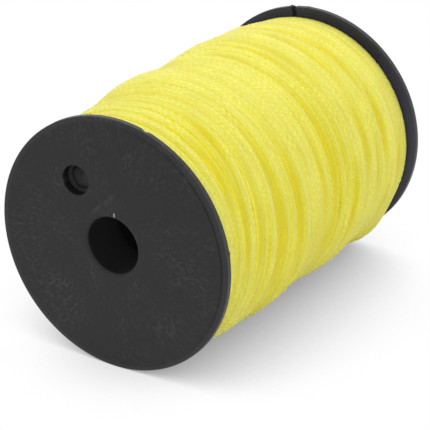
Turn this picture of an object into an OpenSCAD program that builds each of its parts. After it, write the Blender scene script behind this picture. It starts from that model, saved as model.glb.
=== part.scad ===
// Flanged spool wound full of braided line.
// The axle runs along Y with its middle at the origin, the front flange is at -Y and +Z is up.
// The spool is built as such spools are: two moulded flanges whose hollow spigots are pressed into
// the ends of a barrel tube. The line fills the space between them almost to the rims.

/* [Spool] */
// Diameter of both flanges
flange_d = 72; // [64:1:90]
// Length of the spool from outer face to outer face
spool_l = 105.6; // [80:0.2:130]
// Thickness of a flange
flange_t = 2.2; // [2:0.1:4]
// Radial width of the rounding round a flange's outer face
rim_round_w = 1.7; // [0.4:0.1:3]
// Axial depth of that rounding
rim_round_t = 1; // [0.3:0.1:1.4]
// Radius of the small rounding on a rim's inner edge
inner_round = 0.3; // [0.1:0.05:0.5]

/* [Axle bore and barrel] */
// Diameter of the axle bore
bore_d = 16; // [10:0.5:18]
// Radius of the rounded lip at the mouth of the bore
bore_lip = 1; // [0.3:0.1:1.5]
// Wall of a flange's spigot
spigot_wall = 2.8; // [2:0.1:4]
// Length of a spigot beyond the flange
spigot_l = 12; // [6:0.5:20]
// Lead-in chamfer at the end of a spigot
spigot_chamfer = 1; // [0.4:0.1:1.5]
// Wall of the barrel tube
barrel_wall = 2.2; // [1.2:0.1:3]
// Depth to which the barrel's ends are let into the flanges
barrel_seat = 0.8; // [0.4:0.1:1.2]

/* [Drive pocket] */
// Diameter of the blind pocket for a winder's drive pin
drive_d = 8.4; // [6:0.1:10]
// Depth of the pocket down to its ledge
drive_depth = 2.6; // [1:0.1:3]
// Width of the ledge round the deeper middle of the pocket
drive_ledge = 0.7; // [0.3:0.1:1.5]
// Extra depth of the pocket's middle
drive_step = 1.8; // [0.3:0.1:2]
// Wall and floor of the pocket's cup on the flange's inner side
drive_wall = 1.2; // [0.8:0.1:1.6]
// Gap between that cup and the barrel
drive_clear = 1.45; // [0.5:0.05:2.5]
// Place of the pocket round the axle, counted from +X towards +Z
drive_angle = 124.7; // [0:0.1:360]

/* [Line catch] */
// Width of the slit in the rear flange's rim that holds the line's loose end
catch_w = 1.5; // [0.8:0.1:2.5]
// Depth of the slit from the rim
catch_l = 9; // [5:0.5:10]
// Place of the slit round the axle, counted from +X towards +Z
catch_angle = 99.9; // [0:0.1:360]

/* [Line] */
// Diameter of the braided line
line_d = 2.5; // [1.8:0.1:3]
// Gap wanted between neighbouring turns of the outer layer
turn_gap = 1.25; // [0.6:0.05:2]
// Gap between the fullest part of the winding and the flange's rim, measured along the radius
fill_gap = 0.35; // [0.2:0.05:2]
// Height of the swells along the winding, from dip to crest
swell_h = 0.8; // [0:0.1:2]
// Distance from crest to crest
swell_pitch = 30.6; // [20:0.2:50]
// Place of one crest along the axle
swell_at = -14.4; // [-25:0.2:25]
// Drop of the winding's shoulders beside the flanges
shoulder_drop = 2.6; // [0:0.1:4]
// Length over which a shoulder drops
shoulder_l = 16; // [8:0.5:24]
// Clearance that keeps curved faces apart
clearance = 0.03; // [0.01:0.01:0.1]

/* [Hidden] */

$fn = 96;
plastic = [0.2, 0.2, 0.2];
yarn = [0.94, 0.92, 0.36];

flange_r = flange_d / 2;
bore_r = bore_d / 2;
spigot_r = bore_r + spigot_wall;
barrel_r = spigot_r + barrel_wall;
half_gap = spool_l / 2 - flange_t;
cut = 1;

// drive pocket and the cup that carries it
cup_r = drive_d / 2 + drive_wall;
cup_h = drive_depth + drive_step + drive_wall;
drive_r = barrel_r + drive_clear + cup_r;
cup_room = 0.2;

// winding: the path of the outer layer
rings = 24;
sides = 6;
bend_r = line_d;
bend_steps = 5;
end_l = line_d + bend_r;
end_gap = 0.1;
turns = floor(2 * (half_gap - end_l) / (line_d + turn_gap));
pitch = 2 * (half_gap - end_l) / turns;
profile_steps = 40;

// a quarter of an ellipse with half axes a and b round [x, y], from angle t0 to t1
function arc(x, y, a, b, t0, t1, n) =
    [for (i = [0 : n]) let (t = t0 + (t1 - t0) * i / n) [x + a * cos(t), y + b * sin(t)]];

function clamp(v, lo, hi) = min(max(v, lo), hi);

// 0 in the middle of the winding, easing to 1 beside the flanges
function shoulder(y) =
    let (u = clamp((abs(y) - (half_gap - line_d - shoulder_l)) / shoulder_l, 0, 1)) (1 - cos(180 * u)) / 2;

// radius to the top of the outer layer at y, level over the straight ends
function top_r(y) =
    let (yc = clamp(y, line_d - half_gap, half_gap - line_d))
    flange_r - fill_gap - swell_h * (1 - cos(360 * (yc - swell_at) / swell_pitch)) / 2
    - shoulder_drop * shoulder(yc);

// radius to the middle of the outer layer, and to the layers beneath it
function path_r(y) = top_r(y) - line_d / 2;
function core_r(y) = (path_r(y) * cos(180 / rings)) - line_d / 2 - clearance;

// one point of the outer layer's path: s runs round the spool in millimetres at radius mean_r
mean_r = path_r(0);
function path_point(s, y) =
    let (a = start_angle + s / mean_r * 180 / PI) [path_r(y) * cos(a), y, path_r(y) * sin(a)];
start_angle = 250;

// first bend, helix and last bend; the ends run straight into the flanges' inner faces
first_y = end_l - half_gap;
turn_l = 2 * PI * mean_r;

// place along the axle after n turns: opposite the ends the turns spread out to the flanges
spread = end_l + pitch / 2 - line_d / 2 - end_gap;
function reach(n) = spread * max(0, 1 - 2 * n / turns) * (1 - cos(360 * n)) / 2;
function turn_y(n) = first_y + n * pitch - reach(n) + reach(turns - n);
path = concat(
    [path_point(-bend_r, -half_gap)],
    [for (i = [0 : bend_steps - 1]) let (t = 90 * i / bend_steps)
        path_point(-bend_r * cos(t), first_y - bend_r + bend_r * sin(t))],
    [for (i = [0 : turns * rings]) path_point(i * turn_l / rings, turn_y(i / rings))],
    [for (i = [1 : bend_steps]) let (t = 90 * i / bend_steps)
        path_point(turns * turn_l + bend_r * sin(t), bend_r - first_y - bend_r * cos(t))],
    [path_point(turns * turn_l + bend_r, half_gap)]
);

function unit(v) = v / norm(v);
last = len(path) - 1;

// direction of the path at point i, straight along the axle at both ends
function heading(i) = i == 0 || i == last ? [0, 1, 0] : unit(path[i + 1] - path[i - 1]);

// one ring of the tube, square to the path, with a corner pointing away from the axle
function ring(i) =
    let (
        t = heading(i),
        out = [path[i].x, 0, path[i].z],
        n = unit(out - (out * t) * t),
        b = cross(t, n)
    )
    [for (k = [0 : sides - 1]) let (a = 360 * k / sides) path[i] + line_d / 2 * (cos(a) * n + sin(a) * b)];

// least gap between the tube and its own neighbouring turns, measured on the path's points
least_gap = min([
    for (i = [0 : last - rings / 2]) for (j = [i + rings / 2 : min(i + 3 * rings / 2, last)])
        norm(path[i] - path[j])
]) - line_d;

// a flange's local frame has its outer face at z = 0 and the spool inwards at +z
module at_front() {
    translate([0, -spool_l / 2, 0]) rotate([-90, 0, 0]) children();
}

module at_rear() {
    mirror([0, 1, 0]) at_front() children();
}

// moves to radius r and angle a of a flange, a being counted from +X towards +Z
module polar(r, a) {
    rotate([0, 0, -a]) translate([r, 0, 0]) children();
}

// disc with rounded rim, rounded bore mouth, seat for the barrel and hollow spigot
module flange_disc() {
    rotate_extrude()
        polygon(concat(
            arc(bore_r + bore_lip, bore_lip, bore_lip, bore_lip, 270, 180, 6),
            [
                [bore_r, flange_t + spigot_l],
                [spigot_r - spigot_chamfer, flange_t + spigot_l],
                [spigot_r, flange_t + spigot_l - spigot_chamfer],
                [spigot_r, flange_t - barrel_seat],
                [barrel_r, flange_t - barrel_seat],
                [barrel_r, flange_t]
            ],
            arc(flange_r - inner_round, flange_t - inner_round, inner_round, inner_round, 90, 0, 4),
            arc(flange_r - rim_round_w, rim_round_t, rim_round_w, rim_round_t, 0, -90, 8)
        ));
}

// flange with its drive pocket, whose cup stands out on the inner side
module flange() {
    difference() {
        union() {
            flange_disc();
            polar(drive_r, drive_angle) translate([0, 0, flange_t / 2]) cylinder(r = cup_r, h = cup_h - flange_t / 2);
        }
        polar(drive_r, drive_angle) {
            translate([0, 0, -cut]) cylinder(r = drive_d / 2, h = drive_depth + cut);
            translate([0, 0, -cut]) cylinder(r = drive_d / 2 - drive_ledge, h = drive_depth + drive_step + cut);
        }
    }
}

module front_flange() {
    color(plastic) at_front() flange();
}

// the rear flange is the same moulding with a round-ended slit through its rim
module rear_flange() {
    color(plastic) at_rear() difference() {
        flange();
        polar(flange_r - catch_l + catch_w / 2, catch_angle) translate([0, 0, -cut]) {
            cylinder(d = catch_w, h = flange_t + 2 * cut);
            translate([0, -catch_w / 2, 0]) cube([catch_l, catch_w, flange_t + 2 * cut]);
        }
    }
}

// plain tube that the spigots fill at both ends
module barrel() {
    color(plastic) rotate([90, 0, 0]) difference() {
        cylinder(r = barrel_r, h = 2 * (half_gap + barrel_seat), center = true);
        cylinder(r = spigot_r, h = 2 * (half_gap + barrel_seat + cut), center = true);
    }
}

// room for a drive pocket's cup in the end of the winding
module cup_hollow() {
    polar(drive_r, drive_angle) translate([0, 0, flange_t - cut])
        cylinder(r = cup_r + cup_room, h = cup_h + cup_room - flange_t + cut);
}

// all layers under the outer one, as one body with swells and dropped shoulders
module inner_line_layers() {
    color(yarn) difference() {
        rotate([-90, 0, 0]) rotate_extrude()
            polygon(concat(
                [[barrel_r, half_gap], [barrel_r, -half_gap]],
                [for (i = [0 : profile_steps]) let (y = half_gap * (2 * i / profile_steps - 1)) [core_r(y), y]]
            ));
        at_front() cup_hollow();
        at_rear() cup_hollow();
    }
}

// the outer layer: one unbroken tube laid round the spool from flange to flange
module outer_line_layer() {
    echo(str("outer layer: ", turns, " turns, least gap to itself ", least_gap, " mm"));
    color(yarn) polyhedron(
        points = [for (i = [0 : last]) each ring(i)],
        faces = concat(
            [for (k = [1 : sides - 2]) [0, k + 1, k]],
            [for (i = [0 : last - 1]) for (k = [0 : sides - 1]) for (f = tile(i * sides, k)) f],
            [for (k = [1 : sides - 2]) [last * sides, last * sides + k, last * sides + k + 1]]
        )
    );
}

// two triangles between corner k of the ring that starts at point a and the next ring
function tile(a, k) =
    let (l = (k + 1) % sides) [[a + k, a + l, a + sides + k], [a + l, a + sides + l, a + sides + k]];

front_flange();
rear_flange();
barrel();
inner_line_layers();
outer_line_layer();
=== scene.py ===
"""Looks of a flanged plastic spool of braided fishing line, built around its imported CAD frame."""
import math

import bmesh
import bpy
import numpy as np
from mathutils import Matrix, Vector


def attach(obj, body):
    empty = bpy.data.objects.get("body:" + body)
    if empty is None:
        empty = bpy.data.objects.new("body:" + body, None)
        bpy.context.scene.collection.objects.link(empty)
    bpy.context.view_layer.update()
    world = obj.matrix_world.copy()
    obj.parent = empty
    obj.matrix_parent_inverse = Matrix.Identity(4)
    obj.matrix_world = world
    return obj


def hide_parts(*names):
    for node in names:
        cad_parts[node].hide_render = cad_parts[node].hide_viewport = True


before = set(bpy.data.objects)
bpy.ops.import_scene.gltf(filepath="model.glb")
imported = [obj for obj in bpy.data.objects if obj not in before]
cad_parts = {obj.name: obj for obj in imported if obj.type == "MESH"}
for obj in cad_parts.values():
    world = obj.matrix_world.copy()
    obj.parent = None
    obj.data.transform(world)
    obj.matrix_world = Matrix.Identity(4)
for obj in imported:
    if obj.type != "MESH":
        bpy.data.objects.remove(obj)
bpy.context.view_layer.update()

# --- Barrel -------------------------------------------------------------------------------
# The tube that the line is wound on, extruded from black polypropylene and cut to length.
# The flanges' spigots are pressed into its ends. Once it is wound, only its inside shows, deep
# in the axle bore.

MM = 0.001  # the sizes of all pieces below are in millimetres
HALF_GAP = 50.6  # from the middle of the spool to a flange's inner face


def linear(code):
    """The linear colour, with alpha, of an sRGB hex code."""
    parts = [int(code[i : i + 2], 16) / 255 for i in (1, 3, 5)]
    return [p / 12.92 if p <= 0.04045 else ((p + 0.055) / 1.055) ** 2.4 for p in parts] + [1]


def add(tree, kind, sockets=(), **settings):
    """Adds one node with its settings, and links or sets the sockets named."""
    made = tree.nodes.new("ShaderNode" + kind)
    for name, value in settings.items():
        setattr(made, name, value)
    for name, value in dict(sockets).items():
        if isinstance(value, bpy.types.NodeSocket):
            tree.links.new(value, made.inputs[name])
        else:
            made.inputs[name].default_value = value
    return made


def new_material(name):
    """An empty material and its node tree."""
    material = bpy.data.materials.new(name)
    material.use_nodes = True
    material.node_tree.nodes.clear()
    return material, material.node_tree


def moulded_polypropylene(name):
    """Black polypropylene as it leaves the mould: satin, with pale flow marks that run out from
    the middle gate, thickest low on the left, and a few scuffs from handling. Painted light is
    mixed into its colour too: a highlight in the drive pocket, part of the rim's pale band, a
    paler bore against its shade, and a cool cast against the yellow line's reflection."""
    material, tree = new_material(name)
    place = add(tree, "NewGeometry").outputs["Position"]
    flat = add(tree, "VectorMath", {0: place, 1: (1, 0, 1)}, operation="MULTIPLY").outputs[0]
    radius = add(tree, "VectorMath", {0: flat}, operation="LENGTH").outputs["Value"]
    outward = add(tree, "VectorMath", {0: flat}, operation="NORMALIZE").outputs[0]
    # flow marks 0.7 mm wide at 20 mm from the middle and 1.6 mm long: the noise reads the
    # direction finely and the radius coarsely, which draws its blots out along the radius
    along = add(tree, "Math", {0: radius, 1: 1 / (1.6 * MM)}, operation="MULTIPLY").outputs[0]
    across = add(tree, "VectorMath", {0: outward, "Scale": 20 / 0.7}, operation="SCALE").outputs[0]
    lift = add(tree, "CombineXYZ", {"Y": along}).outputs[0]
    spread = add(tree, "VectorMath", {0: across, 1: lift}, operation="ADD").outputs[0]
    flow = add(tree, "TexNoise", {"Vector": spread, "Scale": 1, "Detail": 2, "Roughness": 0.6})
    streaks = add(
        tree,
        "MapRange",
        {"Value": flow.outputs["Fac"], "From Min": 0.46, "From Max": 0.8},
    ).outputs["Result"]

    def mark(x0, z0, x1, z1, reach, strength):
        """How near the surface is to the line from x0, z0 to x1, z1: strength on it, and 0
        from reach away, in millimetres."""
        long = math.hypot(x1 - x0, z1 - z0) * MM
        start = (x0 * MM, 0, z0 * MM)
        line = ((x1 - x0) * MM / long, 0, (z1 - z0) * MM / long)
        step = add(tree, "VectorMath", {0: flat, 1: start}, operation="SUBTRACT").outputs[0]
        ahead = add(tree, "VectorMath", {0: step, 1: line}, operation="DOT_PRODUCT")
        ahead = add(tree, "Clamp", {"Value": ahead.outputs["Value"], "Max": long}).outputs[0]
        foot = add(tree, "VectorMath", {0: line, "Scale": ahead}, operation="SCALE").outputs[0]
        away = add(tree, "VectorMath", {0: step, 1: foot}, operation="DISTANCE").outputs["Value"]
        fade = {"Value": away, "From Max": reach * MM, "To Min": strength, "To Max": 0}
        return add(tree, "MapRange", fade, interpolation_type="SMOOTHSTEP").outputs["Result"]

    # where the flow marks gather: left, low left, right and low right
    patch = add(
        tree, "TexNoise", {"Vector": place, "Scale": 1 / (8 * MM), "Detail": 2}
    ).outputs["Fac"]
    patch = {"Value": patch, "From Min": 0.45, "From Max": 0.85, "To Min": 0.1, "To Max": 0.8}
    patch = add(tree, "MapRange", patch).outputs["Result"]
    for spot in (
        (-28, -8, -24, 4, 8, 0.35),
        (-18, -18, -14, -22, 8, 0.75),
        (16, 6, 21, -3, 8, 0.3),
        (4, -21, 14, -20, 7, 0.2),
    ):
        patch = add(tree, "Math", {0: patch, 1: mark(*spot)}, operation="ADD").outputs[0]
    marks = add(tree, "Math", {0: streaks, 1: patch}, operation="MULTIPLY").outputs[0]
    # a painted highlight low on the right in the drive pocket, where its floor catches light, two
    # scuffs beside the bore, a fleck of swarf on its lip and one lower on the face
    for scuff_and_highlight in (
        (-10.6, 15.4, -9.6, 14.6, 3.2, 0.8),
        (-6, 8.4, -3.6, 10.8, 0.8, 0.3),
        (-2.2, 11.7, 0.6, 14.7, 0.9, 0.25),
        (0.92, 9.5, 0.9, 8.75, 0.4, 9),
        (-6.8, -9.5, -6.7, -9.5, 0.4, 1),
    ):
        marks = add(tree, "Math", {0: marks, 1: mark(*scuff_and_highlight)}, operation="ADD").outputs[0]
    # the rim is painted pale, partly as wear from handling and partly as a painted highlight
    # where its rounding catches light
    rim = {"Value": radius, "From Min": 34.4 * MM, "From Max": 35.4 * MM, "To Max": 0.16}
    rubbed_and_lit = add(tree, "MapRange", rim).outputs["Result"]
    marks = add(tree, "Math", {0: marks, 1: rubbed_and_lit}, operation="ADD").outputs[0]
    # painted light in the bore: paler the deeper inside it lies, against the shade that fills it
    depth = add(tree, "SeparateXYZ", {0: place}).outputs["Y"]
    depth = add(tree, "Math", {0: depth}, operation="ABSOLUTE").outputs[0]
    painted_bore_fill = {"Value": depth, "From Min": 52.6 * MM, "From Max": 36 * MM, "To Min": 0, "To Max": 1.2}
    painted_bore_fill = add(tree, "MapRange", painted_bore_fill).outputs["Result"]
    inside = {"Value": radius, "From Min": 11 * MM, "From Max": 11.4 * MM, "To Min": 1, "To Max": 0}
    inside = add(tree, "MapRange", inside).outputs["Result"]
    painted_bore_fill = add(tree, "Math", {0: painted_bore_fill, 1: inside}, operation="MULTIPLY").outputs[0]
    marks = add(tree, "Math", {0: marks, 1: painted_bore_fill}, operation="ADD").outputs[0]
    # a cool cast painted on the inner faces against the yellow line's reflection in them:
    # outside the drive pocket, and strongest, paler and greyer low on the right, where it stands
    # in for the light that falls there
    painted_cool_cast = {"Value": depth, "From Min": HALF_GAP * MM + 1e-5, "From Max": HALF_GAP * MM + 6e-5}
    painted_cool_cast = add(tree, "MapRange", {**painted_cool_cast, "To Min": 1, "To Max": 0}).outputs["Result"]
    outer = add(tree, "MapRange", {"Value": radius, "From Min": 28 * MM, "From Max": 31 * MM})
    outer = outer.outputs["Result"]
    painted_cool_cast = add(tree, "Math", {0: painted_cool_cast, 1: outer}, operation="MULTIPLY").outputs[0]
    facing = add(tree, "VectorMath", {0: outward, 1: (0.94, 0, -0.34)}, operation="DOT_PRODUCT")
    lower = {"Value": facing.outputs["Value"], "From Min": 0.3, "To Min": 0.25}
    lower = add(tree, "MapRange", lower).outputs["Result"]
    painted_cool_cast = add(tree, "Math", {0: painted_cool_cast, 1: lower}, operation="MULTIPLY").outputs[0]
    tint = add(tree, "Mix", {"Factor": lower}, data_type="RGBA")
    # mould grain, 0.35 mm
    grain = add(
        tree, "TexNoise", {"Vector": place, "Scale": 1 / (0.35 * MM), "Detail": 2}
    ).outputs["Fac"]
    # the pale colour of the marks also carries the painted light above
    colour = add(tree, "Mix", {"Factor": marks}, data_type="RGBA", clamp_factor=False)
    # the colour sockets of a Mix node are its 7th and 8th
    colour.inputs[6].default_value = linear("#0B0B0C")
    colour.inputs[7].default_value = linear("#454546")
    cast_colour = add(tree, "Mix", {"Factor": painted_cool_cast}, data_type="RGBA")
    tree.links.new(colour.outputs[2], cast_colour.inputs[6])
    # the painted cast's colours: deep blue, and a paler grey-blue low on the right
    tint.inputs[6].default_value = linear("#0C1C74")
    tint.inputs[7].default_value = linear("#434565")
    tree.links.new(tint.outputs[2], cast_colour.inputs[7])
    rough = add(tree, "MapRange", {"Value": grain, "To Min": 0.5, "To Max": 0.64}).outputs["Result"]
    rough = add(tree, "Math", {0: rubbed_and_lit, 1: -0.9, 2: rough}, operation="MULTIPLY_ADD").outputs[0]
    relief = add(tree, "Math", {0: grain, 1: marks}, operation="ADD").outputs[0]
    bump = add(
        tree, "Bump", {"Height": relief, "Strength": 0.35, "Distance": 0.03 * MM}
    ).outputs["Normal"]
    shader = add(
        tree,
        "BsdfPrincipled",
        {"Base Color": cast_colour.outputs[2], "Roughness": rough, "IOR": 1.47, "Normal": bump},
    )
    add(tree, "OutputMaterial", {"Surface": shader.outputs[0]})
    return material


black_plastic = moulded_polypropylene("moulded_black_polypropylene")
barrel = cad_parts["barrel"]
barrel.data.materials.clear()
barrel.data.materials.append(black_plastic)
for face in barrel.data.polygons:
    face.use_smooth = False

# --- Front flange -------------------------------------------------------------------------
# One injection moulding in black polypropylene: a disc with a rounded rim, an axle
# bore that runs on through a hollow spigot, and a stepped blind pocket for a winder's drive
# pin, whose cup stands out behind the disc. The spigot is pressed into the barrel.

FLANGE_R = 36
FLANGE_T = 2.2
FACE_R = 34.2  # the flat face ends here in a small step down to the rounded rim
BORE_R = 8
BORE_LIP = 1  # radius of the round at the mouth of the bore
BARREL_R = 13
SEAT_DEPTH = 1.4  # from the outer face to the seat that takes the barrel's end
SPIGOT_R = 10.8
SPIGOT_DEPTH = 14.2  # from the outer face to the spigot's tip
SPIGOT_CHAMFER = 1
RIM_DROP = 0.25  # from the outer face to the rim beyond the step
RIM_W, RIM_T = 0.8, 0.5  # radial and axial size of the round on the rim's outer edge
INNER_W, INNER_T = 0.3, 0.15  # and of the one on its inner edge
END_Y = HALF_GAP + FLANGE_T  # from the middle of the spool to a flange's outer face
SEGMENTS = 384


def arc(x, y, a, b, start, end, count):
    """Points on an ellipse with half axes a and b round x, y, from one angle to another."""
    steps = [math.radians(start + (end - start) * i / count) for i in range(count + 1)]
    return [(x + a * math.cos(t), y + b * math.sin(t)) for t in steps]


def mesh_object(name, points, faces):
    """A smooth-shaded object from points in millimetres."""
    mesh = bpy.data.meshes.new(name)
    mesh.from_pydata((np.asarray(points, float) * MM).tolist(), [], faces)
    mesh.shade_smooth()
    made = bpy.data.objects.new(name, mesh)
    bpy.context.scene.collection.objects.link(made)
    return made


def ring_faces(rings, n, closed=False):
    """Quads between rings of n points each; closed joins the last ring to the first."""
    corners = ((0, 0), (0, 1), (1, 1), (1, 0))
    return [
        tuple((i + ahead) % rings * n + (k + round_it) % n for ahead, round_it in corners)
        for i in range(rings if closed else rings - 1)
        for k in range(n)
    ]


def revolved(name, outline, segments, shape=None):
    """A closed solid turned round the axle from a closed outline of (radius, place along Y).
    shape may move the points: it gets radius, y and angle, and returns radius and y."""
    ring = np.array(outline, float)
    angle = np.arange(segments) * 2 * math.pi / segments
    r, a = np.meshgrid(ring[:, 0], angle)
    y = np.meshgrid(ring[:, 1], angle)[0]
    if shape:
        r, y = shape(r, y, a)
    points = np.stack([r * np.cos(a), y, r * np.sin(a)], -1).reshape(-1, 3)
    return mesh_object(name, points, ring_faces(segments, len(ring), closed=True))


def stacked(name, outline, levels, end):
    """A closed solid made of one outline at several depths from a flange's outer face.
    outline(grow) gives points in X and Z, levels are (depth, grow), end is -1 or 1."""
    loops = [
        [(x, end * (END_Y - depth), z) for x, z in outline(grow)] for depth, grow in levels
    ]
    n = len(loops[0])
    points = [p for loop in loops for p in loop]
    ends = [tuple(range(n)), tuple(range(len(points) - n, len(points)))]
    return mesh_object(name, points, ring_faces(len(loops), n) + ends)


def even_out(piece):
    """Turns all faces outward."""
    work = bmesh.new()
    work.from_mesh(piece.data)
    bmesh.ops.recalc_face_normals(work, faces=work.faces)
    work.to_mesh(piece.data)
    work.free()


def combine(piece, tool, operation):
    """Joins a tool solid to the piece or cuts it out, and removes the tool."""
    even_out(piece)
    even_out(tool)
    step = piece.modifiers.new(operation, "BOOLEAN")
    step.operation = operation
    step.object = tool
    step.solver = "EXACT"
    graph = bpy.context.evaluated_depsgraph_get()
    done = bpy.data.meshes.new_from_object(piece.evaluated_get(graph))
    piece.modifiers.clear()
    piece.data = done
    bpy.data.objects.remove(tool)


def round_outline(x, z, radius, count=64):
    """The outline function of a round hole or peg."""
    steps = [2 * math.pi * i / count for i in range(count)]
    return lambda grow: [
        (x + (radius + grow) * math.cos(t), z + (radius + grow) * math.sin(t)) for t in steps
    ]


POCKET_X, POCKET_Z = -11.3, 16.32
POCKET_R = 4.2
CUP_R = POCKET_R + 1.2
CUP_DEPTH = 5.6  # from the outer face to the back of the cup
CUP_ROUND = 0.4  # chamfer round the cup's back


def flange(name, end, shape=None):
    """The moulding at end -1 or 1, with its drive pocket."""
    # up the bore and round the spigot's tip, out along the inner face, round the rim, and back
    # in along the outer face: (radius, depth from the outer face)
    depths = (
        arc(BORE_R + BORE_LIP, BORE_LIP, BORE_LIP, BORE_LIP, 270, 180, 8)
        + [(BORE_R, depth) for depth in (6, 10, SPIGOT_DEPTH)]
        + [(SPIGOT_R - SPIGOT_CHAMFER, SPIGOT_DEPTH), (SPIGOT_R, SPIGOT_DEPTH - SPIGOT_CHAMFER)]
        + [(SPIGOT_R, 8), (SPIGOT_R, SEAT_DEPTH), (BARREL_R, SEAT_DEPTH)]
        + [(r, FLANGE_T) for r in (BARREL_R, 16, 20, 24, 28, 32, FACE_R)]
        + arc(FLANGE_R - INNER_W, FLANGE_T - INNER_T, INNER_W, INNER_T, 90, 0, 6)
        + arc(FLANGE_R - RIM_W, RIM_DROP + RIM_T, RIM_W, RIM_T, 0, -90, 10)
        + [(FACE_R + 0.08, 0.22), (FACE_R, 0.18), (FACE_R, 0.08), (FACE_R - 0.08, 0)]
        + [(r, 0) for r in (33, 30, 27, 24, 21, 18, 15, 12, 10)]
    )
    outline = [(r, end * (END_Y - depth)) for r, depth in depths]
    piece = revolved(name, outline, SEGMENTS, shape)
    back = [(1, 0), (CUP_DEPTH - CUP_ROUND, 0), (CUP_DEPTH, -CUP_ROUND)]
    cup = stacked("cup", round_outline(POCKET_X, POCKET_Z, CUP_R), back, end)
    combine(piece, cup, "UNION")
    # a rounded mouth, a straight wall down to the ledge, and a dished middle behind it
    steps = [(-0.5, 0.2), (0, 0.2), (0.06, 0.08), (0.2, 0), (2.5, 0), (2.6, -0.1), (2.62, -0.55)]
    steps += [(2.8, -0.75), (3.4, -1), (3.9, -1.45), (4.2, -2.1), (4.35, -2.9), (4.4, -3.8)]
    pocket = stacked("pocket", round_outline(POCKET_X, POCKET_Z, POCKET_R), steps, end)
    combine(piece, pocket, "DIFFERENCE")
    return piece


def finish_plastic(piece, node):
    """Crisp edges, flat faces and the plastic, and the piece's place in the frame."""
    even_out(piece)
    piece.data.shade_smooth()
    piece.data.set_sharp_from_angle(angle=math.radians(40))
    flatten = piece.modifiers.new("flat faces", "WEIGHTED_NORMAL")
    flatten.keep_sharp = True
    piece.data.materials.clear()
    piece.data.materials.append(black_plastic)
    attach(piece, "root")
    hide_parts(node)


def ease(u):
    """0 up to 0, 1 from 1 on, and smooth between."""
    u = np.clip(u, 0, 1)
    return u * u * (3 - 2 * u)


def degrees_past(a, degrees):
    """How far the angle a, in radians, is past one in degrees, from -180 to 180 degrees."""
    return (np.degrees(a) - degrees + 180) % 360 - 180


def near(a, degrees, width):
    """1 at an angle round the axle, falling off over a width in degrees to both sides."""
    return np.exp(-((degrees_past(a, degrees) / width) ** 2))


def front_rim_wear(r, y, a):
    """A nick and a nub of flash on the rim's inner edge; the step on the face, which is there
    on the right only, because the mould's halves didn't meet quite square; and the rim's outer
    side, which slopes back by up to 0.6 mm at the top."""
    deep = y + END_Y
    low = (r > FACE_R - 0.05) * (deep < 1.2)
    y = y - deep * low * (1 - ease((np.cos(a - 0.1) + 0.1) / 0.9)) * ease((1.2 - deep) / 0.8)
    y = y + 0.6 * near(a, 92, 38) * ease((r - 33.8) / 1.8) * (deep < 1.2)
    inner = np.clip((r - 35) / 0.7, 0, 1) * (np.abs(y + END_Y) > 1.6)
    r = r - 0.45 * near(a, 74, 1.1) * inner + 0.3 * near(a, 10, 0.6) * inner
    return r, y


front = flange("front_flange_moulding", -1, front_rim_wear)
finish_plastic(front, "front_flange")

# --- Rear flange --------------------------------------------------------------------------
# The same moulding with a slit through its rim, which pinches the line's loose end. The
# knife that cut the slit left a burr at one corner, and the mould a little flash on the rim.

SLIT_ANGLE = 100.2
SLIT_W = 1.5  # at the inner face; it narrows towards the outer one
SLIT_L = 9


def slit_outline(grow):
    """A round-ended slit that runs out past the rim."""
    half = SLIT_W / 2 + grow
    inner = FLANGE_R - SLIT_L + SLIT_W / 2
    ends = arc(inner, 0, half, half, 90, 270, 16) + [(FLANGE_R + 2, -half), (FLANGE_R + 2, half)]
    c, s = math.cos(math.radians(SLIT_ANGLE)), math.sin(math.radians(SLIT_ANGLE))
    return [(u * c - v * s, u * s + v * c) for u, v in ends]


def rear_rim_wear(r, y, a):
    """The burr beside the slit and a step of flash."""
    rim = np.clip((r - 34.5) / 1.5, 0, 1)
    return r + (0.35 * near(a, SLIT_ANGLE + 2.1, 0.7) + 0.12 * near(a, 93, 1.5)) * rim, y


rear = flange("rear_flange_moulding", 1, rear_rim_wear)
slit = [(-0.5, -0.47), (0, -0.47), (0.08, -0.52), (2.12, 0), (2.2, 0.08), (2.8, 0.08)]
combine(rear, stacked("slit", slit_outline, slit, 1), "DIFFERENCE")
finish_plastic(rear, "rear_flange")

# --- Line: the layers beneath ---------------------------------------------------------------
# Braided polyethylene line, dyed fluorescent yellow, wound under light tension. The layer
# below the top one runs the other way. It can hardly be seen, because the turns over it are
# pressed together. What lies deeper is one body.

TURN_L = 2 * math.pi * 35  # length of one turn
STITCH = 1.9  # length of one stitch of the braid along the line
LINE_W = 4.05  # the tube's width: more than the turns' spacing of 2.8, so that pressed turns
# run into each other and leave no gap
LINE_H = 2.2  # and its height
WALL_GAP = 2.85  # twice the distance from a flange to the middle of the turn beside it
STITCH_H = 0.15  # room over the line's own outline for the crests of its stitches
START = math.radians(250)  # the ends are tucked in at the bottom
FULL_R = 36.3  # radius to the winding's top between its shoulders
SWELL_H = 0.55  # the winding swells and narrows by this much
SWELL_PITCH = 30.8  # from crest to crest
CREST_Y = 16.2  # place of one crest along the axle
FLOOR_GAP = 0.15  # how far the pressed underside stays above what the rims stand on


def wound_radius(y, a):
    """How far from the axle the winding's top is at place y along the axle and angle a."""
    deg = np.degrees(a)
    swell = SWELL_H * np.cos(2 * math.pi * (y - CREST_Y) / SWELL_PITCH)
    side = FULL_R - 0.28 * np.cos(np.radians(deg - 124))
    # the shoulders drop towards the flanges, and low on the right some rear turns hang slack
    rear_drop = (2.15 + 1.8 * np.cos(np.radians(deg - 50))) * ease((y - 33) / 18)
    front_drop = (3.4 - 0.8 * near(a, -55, 25)) * ease((-y - 27) / 24)
    slack = 2 * near(a, -50, 14) * ease((y - 33) / 10)
    radius = side + swell - rear_drop - front_drop + slack
    # what the spool lies on presses the winding flat
    down = np.maximum(-np.sin(a), 1e-3)
    return np.minimum(radius, (FLANGE_R - FLOOR_GAP) / down)


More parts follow.
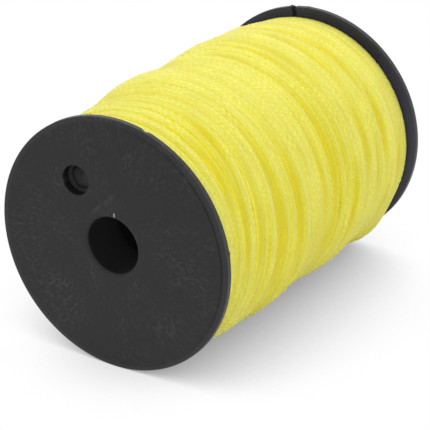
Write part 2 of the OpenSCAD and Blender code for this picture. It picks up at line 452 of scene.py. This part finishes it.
def waves(rng, count, low, high):
    """A smooth random function of one value, about 1 high, with low to high waves per unit."""
    rate = rng.uniform(low, high, count)
    phase = rng.uniform(0, 2 * math.pi, count)
    return lambda s: sum(np.sin(2 * math.pi * f * s + p) for f, p in zip(rate, phase)) / count**0.5


def tube_faces(rings, n, turns, hand):
    """The faces of a tube whose rings have n points, closed at both ends, and its UV, in which
    each turn round the spool is one strip."""
    i, j = np.meshgrid(np.arange(rings), np.arange(n), indexing="ij")
    k = (j + 1) % n
    quads = np.stack([i * n + j, i * n + k, (i + 1) * n + k, (i + 1) * n + j], -1).reshape(-1, 4)
    caps = np.array([np.arange(n)[::-1], np.arange(rings * n, rings * n + n)])
    if hand < 0:
        quads, caps = quads[:, ::-1], caps[:, ::-1]
    turn = np.floor(i * turns / rings)
    u = np.stack([i, i, i + 1, i + 1], -1) * turns / rings - turn[..., None]
    v = (turn[..., None] + 0.04 + 0.92 * np.stack([j, j + 1, j + 1, j], -1) / n) / turns
    strips = np.stack([np.clip(u, 0, 1), v], -1).reshape(-1, 4, 2)[:, ::hand].reshape(-1, 2)
    return quads.tolist() + caps.tolist(), np.concatenate([strips, np.zeros((2 * n, 2))])


def wound_line(turns, hand, drop, per_stitch, seed, dips, leans):
    """Lays the braided line round the spool in one unbroken tube, and gives its points, faces,
    two shades for the material, and strips of UV. hand is 1 or -1, drop is how deep its top
    lies, and per_stitch is the number of rings to a stitch. dips are (y, angle, half-length in
    degrees, depth, half-width) of the places where turns have sunk, or stand out where the
    depth is negative. leans are (y, angle, reach along the axle, reach in degrees, size) of
    those where turns lie aslant."""
    rng = np.random.default_rng(seed)
    rings = round(turns * TURN_L / STITCH * per_stitch)
    # five columns of stitches face outward, with an edge and a middle each; two points close
    # the hidden underside
    column = np.arange(11)
    psi = np.radians(np.append(column * 22.5 - 112.5, [150, 210]))
    middle = np.append(column % 2, [0, 0])
    # the edges of a column are shifted along the line by turns, which slants the stitches
    shift = np.append((1 - column % 2) * np.where(column % 4 == 0, 1, -1), [0, 0])
    S = np.linspace(0, turns, rings + 1)[:, None] + shift * STITCH / 4 / TURN_L
    angle = START + hand * 2 * math.pi * S

    pitch = (2 * HALF_GAP - WALL_GAP) / turns
    first = WALL_GAP / 2 - HALF_GAP

    def place(n):
        """Where turn n lies along the axle: closer together by the flanges than between."""
        return first + pitch * (n - 0.07 * turns * np.sin(2 * math.pi * n / turns) / (2 * math.pi))

    def reach(n):
        """How far a turn near the end leans over so that the wall is covered all round."""
        return pitch / 2 * np.clip(1 - 2 * n / turns, 0, 1) * (1 - np.cos(2 * math.pi * n)) / 2

    y = place(S) - reach(S) + reach(turns - S)
    # slow changes along the line in its place, height, girth and twist, and quick ones in how
    # far apart and how tight its stitches are
    spans = ((0.8, 4), (0.4, 2.5), (1, 6), (0.3, 1.5))
    own, lift, girth, twist = (waves(rng, 7, *span) for span in spans)
    slip, press = waves(rng, 9, 6, 30), waves(rng, 9, 5, 25)
    # the turns lie looser, and so rounder, on one side of the spool than on the other
    loose = 0.5 + 0.5 * np.cos(angle + math.radians(10))
    side = 0.1 * own(S)
    # long waves carry many turns with them, short ones bunch them in twos and threes
    for swings, long, size in ((1, 23, 0.18), (3, 31, 0.18), (4, 17, 0.06)):
        side = side + size * np.sin(swings * angle + 2 * math.pi * y / long + rng.uniform(0, 6.28))
    for swings, long, size in ((1, 6.3, 0.2), (-2, 5.4, 0.14), (3, 7.8, 0.18)):
        wave = np.sin(swings * angle + 2 * math.pi * y / long + rng.uniform(0, 6.28))
        side = side + size * wave * (0.2 + 0.6 * loose)
    for at, degrees, reach_y, reach_a, size in leans:
        past = degrees_past(angle, degrees) / reach_a
        side = side + size * past * np.exp(-(past**2) - ((y - at) / reach_y) ** 2)
    free = 1 - np.clip(np.abs(y) / (HALF_GAP - 1), 0, 1) ** 8
    y = np.clip(y + side * free, first, -first)

    # both ends dive under the turns beside them
    tuck = 3 * (ease(1 - S / 0.12) + ease(1 - (turns - S) / 0.12))
    top = wound_radius(y, angle) - drop
    # crests along the columns' middles, valleys between them, and a bump for each stitch
    along = S * TURN_L / STITCH + 0.3 * slip(S)
    stitch = np.cos(2 * math.pi * (along + np.append(column, [0, 0]) // 2 % 2 / 2))
    stitch = stitch * (1.25 - 0.4 * loose + 0.5 * press(S))
    relief = np.where(middle == 1, 0.06 + 0.11 * stitch, -0.12)
    relief = relief * np.clip(1.6 - np.abs(psi) / 1.2, 0.25, 1)
    relief = relief + 0.04 * rng.standard_normal(S.shape)  # loose filaments
    # the braid is pulled smooth on one side and beside the flanges
    relief = relief * (1 - 0.7 * near(angle, 145, 25)) * (0.3 + 0.7 * free)
    relief[:, 11:] = 0
    turned = psi + math.radians(14) * twist(S)
    wide = LINE_W / 2 * (1.06 - 0.19 * loose + 0.05 * girth(S)) + relief
    high = LINE_H / 2 * (1 - 0.05 * girth(S)) + relief
    c, w = np.cos(turned), np.sin(turned)
    wide = wide * np.sign(w) * np.abs(w) ** 0.9
    rise = 0.1 * lift(S)
    warm = -rise
    count = np.linspace(0, turns, 10 * turns)
    for at, degrees, half_length, depth, half_width in dips:
        ahead = degrees_past(angle, degrees)
        # a dip follows the turns, and crosses its own angle at the place named
        off = (S - hand * ahead / 360 - np.interp(at, place(count), count)) * pitch + wide
        sink = depth * np.exp(-((ahead / half_length) ** 2) - (off / half_width) ** 2)
        rise = rise - sink
        warm = warm + sink * min(1, (1.6 / half_width) ** 2)  # a wide dip traps little light
    rise = 0.8 * np.tanh(rise / 0.8) * free  # the turns beneath hold a turn within this much
    # the section is flattened where the turns press together, and rounder where they lie loose
    outward = high * np.sign(c) * np.abs(c) ** (0.42 + 0.45 * loose)
    radial = top + rise - tuck - STITCH_H - LINE_H / 2 + outward
    # and no stitch reaches down to what the flanges' rims stand on
    radial = np.minimum(radial, FLANGE_R / np.maximum(-np.sin(angle), 1e-3) - 0.05)
    across = np.clip(y + wide, -HALF_GAP, HALF_GAP)
    points = np.stack([radial * np.cos(angle), across, radial * np.sin(angle)], -1)

    # painted shade: 0 on the crests, and up to 1 between the stitches and down between the turns
    depth = 0.6 * (top - radial) + np.where(middle == 1, 0.2 - 0.2 * stitch, 0.4)
    # beside the flanges the line is painted darker and warmer, partly as shade and partly as grime
    sunk = 2.3 * warm - 0.05 + 0.4 * ease((np.abs(across) - HALF_GAP + 2.5) / 2.5)
    shades = [np.clip(shade, 0, 1).ravel() for shade in (depth, sunk)]
    faces, strips = tube_faces(rings, len(psi), turns, hand)
    return points.reshape(-1, 3), faces, shades, strips


def dyed_braid(name):
    """Braided polyethylene, dyed in the fibre fluorescent yellow, with the soft sheen of fine
    filaments. Painted shade makes it warmer and deeper between the stitches and the turns."""
    material, tree = new_material(name)
    place = add(tree, "NewGeometry").outputs["Position"]
    # painted shade between the stitches and between the turns
    depth = add(tree, "Attribute", attribute_name="depth").outputs["Fac"]
    # filaments 0.25 mm wide, drawn coarser than they are so that they show, and broad clouds
    # of wear over 9 mm
    fuzz = add(
        tree, "TexNoise", {"Vector": place, "Scale": 1 / (0.5 * MM), "Detail": 3}
    ).outputs["Fac"]
    cloud = add(
        tree, "TexNoise", {"Vector": place, "Scale": 1 / (9 * MM), "Detail": 2}
    ).outputs["Fac"]
    # the painted shade, with the filaments and the wear laid over it
    shade_and_wear = add(tree, "Math", {0: fuzz, 1: 0.9, 2: depth}, operation="MULTIPLY_ADD").outputs[0]
    shade_and_wear = add(tree, "Math", {0: cloud, 1: 0.4, 2: shade_and_wear}, operation="MULTIPLY_ADD").outputs[0]
    mix = add(
        tree,
        "MapRange",
        {"Value": shade_and_wear, "From Min": 0.5, "From Max": 1.6},
    ).outputs["Result"]
    # the dye takes a little unevenly, over 2.5 mm
    dye = add(
        tree, "TexNoise", {"Vector": place, "Scale": 1 / (2.5 * MM), "Detail": 3}
    ).outputs["Fac"]
    dye = add(tree, "MapRange", {"Value": dye, "From Min": 0.35, "From Max": 0.65})
    crest = add(tree, "Mix", {"Factor": dye.outputs["Result"]}, data_type="RGBA")
    crest.inputs[6].default_value = linear("#FAF089")
    crest.inputs[7].default_value = linear("#F4F883")
    colour = add(tree, "Mix", {"Factor": mix}, data_type="RGBA")
    tree.links.new(crest.outputs[2], colour.inputs[6])
    # the colour of the painted shade
    colour.inputs[7].default_value = linear("#E2D91A")
    # light that goes back and forth between the turns warms the ones that lie low
    sunk = add(tree, "Attribute", attribute_name="sunk").outputs["Fac"]
    sunk = add(tree, "MapRange", {"Value": sunk, "To Max": 0.9}).outputs["Result"]
    warmer = add(tree, "Mix", {"Factor": sunk}, data_type="RGBA")
    tree.links.new(colour.outputs[2], warmer.inputs[6])
    warmer.inputs[7].default_value = linear("#E4D410")
    bump = add(
        tree, "Bump", {"Height": fuzz, "Strength": 0.8, "Distance": 0.22 * MM}
    ).outputs["Normal"]
    shader = add(
        tree,
        "BsdfPrincipled",
        {
            "Base Color": warmer.outputs[2],
            "Roughness": 0.62,
            "IOR": 1.5,
            "Specular IOR Level": 0.3,
            "Sheen Weight": 0.15,
            "Sheen Roughness": 0.5,
            "Subsurface Weight": 0.85,
            "Subsurface Radius": (1, 0.95, 0.5),
            "Subsurface Scale": 2.4 * MM,
            "Normal": bump,
        },
        subsurface_method="BURLEY",
    )
    add(tree, "OutputMaterial", {"Surface": shader.outputs[0]})
    return material


yellow_braid = dyed_braid("braided_yellow_polyethylene")


def finish_line(piece, shades, node, strips=None):
    """The braid's material, its attributes of painted shade, its strips and its place in the frame.
    """
    for name, values in zip(("depth", "sunk"), shades):
        colour = piece.data.attributes.new(name, "FLOAT", "POINT")
        colour.data.foreach_set("value", values.astype(np.float32))
    if strips is not None:
        chart = piece.data.uv_layers.new(name="OFBake")
        chart.uv.foreach_set("vector", strips.ravel().astype(np.float32))
    piece.data.materials.append(yellow_braid)
    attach(piece, "root")
    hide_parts(node)


points, faces, shades, strips = wound_line(35, -1, 1.2, 2, 5, (), ())
# the layer beneath is painted in deeper shade
shades = [np.minimum(shade + 0.3, 1) for shade in shades]
under = mesh_object("line_under_layer", points, faces)
finish_line(under, shades, "inner_line_layers", strips)

CORE_DROP = 3.3  # how deep the solid core lies under the winding's top
CUP_ROOM = 0.2  # clearance between the core and the drive pockets' cups
core_y = np.linspace(-HALF_GAP, HALF_GAP, 61)
core_outline = [(0, y) for y in core_y] + [(BARREL_R, HALF_GAP), (BARREL_R, -HALF_GAP)]


def core_shape(r, y, a):
    """The core follows the winding's own swells, where its outline has a radius of 0."""
    return np.where(r == 0, wound_radius(y, a) - CORE_DROP, r), y


core = revolved("line_core", core_outline, 96, core_shape)
for end in (-1, 1):
    levels = [(1, CUP_ROOM), (CUP_DEPTH + CUP_ROOM, CUP_ROOM)]
    room = stacked("room", round_outline(POCKET_X, POCKET_Z, CUP_R), levels, end)
    combine(core, room, "DIFFERENCE")
even_out(core)
# the core is painted in full shade
finish_line(core, np.ones((2, len(core.data.vertices))), "inner_line_layers")

# --- Line: the top layer --------------------------------------------------------------------
# The last layer of the same line, laid turn by turn from the front flange to the rear one.
# The winder's guide lets the turns wander, bunch and part, and each keeps its braid.

# places where the turns have sunk or stand out, as wound_line takes them
DIPS = (
    # hollows between bunches of turns
    (-40.5, 45, 17, 0.49, 1.2),
    (-36, 58, 12, 0.35, 1.1),
    (-37.5, 12, 20, 0.42, 1.3),
    (-32.5, 10, 30, 0.49, 1.4),
    (-24, 42, 22, 0.42, 1.1),
    (-23.8, 5, 26, 0.56, 1.7),
    (-15.5, 13, 24, 0.56, 1.4),
    (-8.3, 34, 14, 0.28, 1.1),
    (-1, 18, 24, 0.28, 1.1),
    (4.8, 25, 36, 0.42, 1.8),
    (2.5, -17, 12, 0.49, 2),
    (13.6, -6, 20, 0.56, 1.6),
    (21.7, 20, 16, 0.63, 1.4),
    (24, 70, 26, 0.42, 1.1),
    (31, 57, 18, 0.42, 1.4),
    (33, 20, 18, 0.56, 1.3),
    (28.3, 5, 14, 0.35, 1.2),
    (36.5, -18, 14, 0.42, 1.5),
    (42, -2, 10, 0.42, 1.3),
    # fainter ones, most of them over the top
    (-29.5, 85, 25, 0.25, 1.1),
    (-18, 80, 22, 0.25, 1.1),
    (-12, 95, 20, 0.2, 1.2),
    (-6, 75, 25, 0.25, 1.1),
    (4, 88, 22, 0.35, 1.2),
    (10.5, 80, 20, 0.25, 1.1),
    (10, 15, 18, 0.25, 1.1),
    (14.5, 70, 25, 0.3, 1.2),
    (18, 95, 20, 0.25, 1.2),
    (29.5, 88, 22, 0.3, 1.2),
    (36, 75, 20, 0.3, 1.2),
    (40, 25, 18, 0.25, 1.1),
    (43, 60, 25, 0.3, 1.2),
    # broad hollows and swells at the top of the far side and low on the near one
    (-29, 127, 25, 0.6, 3.5),
    (-4.5, 127, 25, 1, 4),
    (3.5, 127, 25, -0.35, 2.5),
    (46, 127, 30, 1.2, 6),
    (-9, -48, 20, 0.5, 4),
    (-16, 127, 30, -0.5, 6),
    (30, 127, 30, -0.45, 8),
    (-32, -48, 20, -0.5, 5),
    (17.5, -48, 20, -0.4, 3),
    # single turns that stand proud
    (-44.5, 20, 30, -0.28, 1.3),
    (-34.5, 20, 25, -0.28, 1.2),
    (7.5, 72, 22, -0.28, 1.2),
    (20.8, 75, 22, -0.28, 1.2),
    (37.5, 20, 26, -0.35, 1.8),
)
# beside the front flange the turns lie aslant
LEANS = ((-36, 22, 11, 62, 6),)
# round the back and the underside, 30 more hollows lie wherever chance puts them
least, most = (-46, 165, 12, 0.25, 1.1), (46, 285, 30, 0.7, 1.9)
others = np.random.default_rng(8).uniform(least, most, (30, 5))
dips = np.concatenate([DIPS, others])
points, faces, shades, strips = wound_line(35, 1, 0, 4, 3, dips, LEANS)
top = mesh_object("line_top_layer", points, faces)
finish_line(top, shades, "outer_line_layer", strips)

# --- Studio -------------------------------------------------------------------------------
# A white floor that runs out of sight, whose shade is painted from how much of the sky each
# place sees, a white surround, and a broad soft light from above, behind and to the left,
# with a weaker one low on the right.

FLOOR_SIZE = 6  # metres, like the places of the lamps and the camera below
LAMP_DISTANCE = 0.8


def seen_itself(tree):
    """1 for rays that show a surface or the sky itself, and 0 for those that only light."""
    path = add(tree, "LightPath").outputs
    seen = {0: path["Is Camera Ray"], 1: path["Is Glossy Ray"]}
    seen = add(tree, "Math", seen, operation="MAXIMUM").outputs[0]
    seen = {0: seen, 1: path["Is Transmission Ray"]}
    return add(tree, "Math", seen, operation="MAXIMUM").outputs[0]


bpy.ops.mesh.primitive_plane_add(size=FLOOR_SIZE, location=(0, 0, -FLANGE_R * MM))
floor = bpy.context.object
floor.name = "floor"
white, tree = new_material("white_floor")
# how much of the sky a place on the floor sees makes its shade, so that the yellow line's own
# light on it stays out, and a strength of 1 is white
open_sky = add(tree, "AmbientOcclusion", {"Distance": 0.6}, samples=16).outputs["AO"]
shade = add(tree, "Math", {0: open_sky, 1: 1.1, 2: 0.22}, operation="MULTIPLY_ADD", use_clamp=True)
light = add(tree, "Emission", {"Strength": shade.outputs[0]}).outputs[0]
paint = add(tree, "BsdfDiffuse", {"Color": (0.8, 0.8, 0.8, 1)}).outputs[0]
both = add(tree, "MixShader", {0: seen_itself(tree), 1: paint, 2: light}).outputs[0]
add(tree, "OutputMaterial", {"Surface": both})
floor.data.materials.append(white)

world = bpy.data.worlds.new("surround")
bpy.context.scene.world = world
world.use_nodes = True
tree = world.node_tree
tree.nodes.clear()
strength = add(tree, "MapRange", {"Value": seen_itself(tree), "To Min": 0.62, "To Max": 1})
sky = add(tree, "Background", {"Color": (1, 1, 1, 1), "Strength": strength.outputs["Result"]})
add(tree, "OutputWorld", {"Surface": sky.outputs[0]})

# a broad soft box overhead, and a weaker one low on the right that fills the underside
for name, toward, size, energy in (
    ("overhead_soft_box", (-0.3, 0.25, 1), 0.8, 3),
    ("low_fill_box", (1, 0, 0.2), 0.5, 1),
):
    data = bpy.data.lights.new(name, "AREA")
    data.shape = "DISK"
    data.size = size
    data.energy = energy
    lamp = bpy.data.objects.new(name, data)
    bpy.context.scene.collection.objects.link(lamp)
    direction = Vector(toward).normalized()
    lamp.location = direction * LAMP_DISTANCE
    lamp.rotation_mode = "QUATERNION"
    lamp.rotation_quaternion = direction.to_track_quat("Z", "Y")

# the camera looks down on the spool from the front right, from a place a little left of and
# below the line that runs through the spool's middle
azimuth, elevation = math.radians(32.73), math.radians(24.76)
distance, to_left, downward = 0.58185, 0.00131, 0.01033
level = math.cos(elevation)
back = Vector((math.sin(azimuth) * level, -math.cos(azimuth) * level, math.sin(elevation)))
right = Vector((math.cos(azimuth), math.sin(azimuth), 0))
up = back.cross(right)
camera_data = bpy.data.cameras.new("camera")
camera_data.lens = 171.64
camera_data.sensor_width = 36
camera_data.clip_start = 0.01
camera = bpy.data.objects.new("camera", camera_data)
bpy.context.scene.collection.objects.link(camera)
place = Matrix.Translation(back * distance - right * to_left - up * downward)
camera.matrix_world = place @ Matrix((right, up, back)).transposed().to_4x4()
bpy.context.scene.camera = camera
bpy.context.scene.view_settings.view_transform = "Standard"
